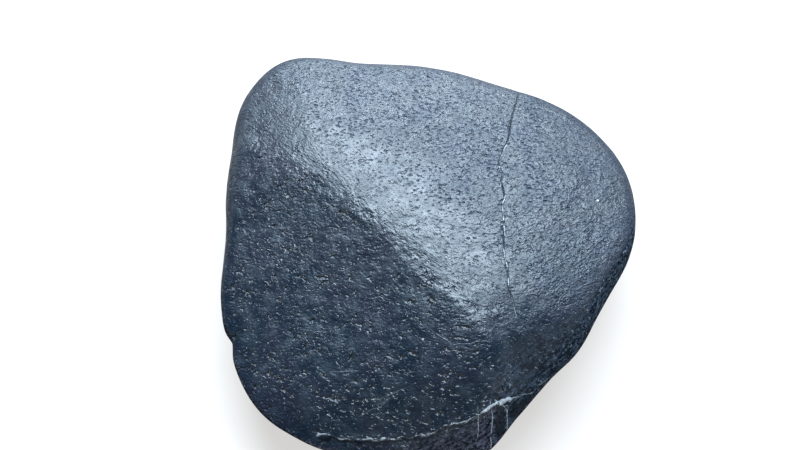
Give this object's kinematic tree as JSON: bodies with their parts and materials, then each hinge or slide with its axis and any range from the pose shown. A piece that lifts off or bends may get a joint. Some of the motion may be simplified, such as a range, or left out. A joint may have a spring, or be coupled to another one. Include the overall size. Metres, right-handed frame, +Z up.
{
  "type": "river pebble",
  "caption": "Flat, water-worn dark blue-grey stone with a rounded three-cornered outline, a soft ridge over the top and a broken ledge at one side.",
  "frame": {"origin": "on the surface that the stone rests on, under the middle of its outline", "axes": "+Z up, out of the broad worn top; +Y away from the broken ledge; +X towards the broad lobe"},
  "size_m": [0.0712, 0.075, 0.0244],
  "materials": {
    "stone": "satin, fine-grained, water-worn"
  },
  "bodies": {
    "root": {"pebble": "stone"}
  },
  "joints": []
}
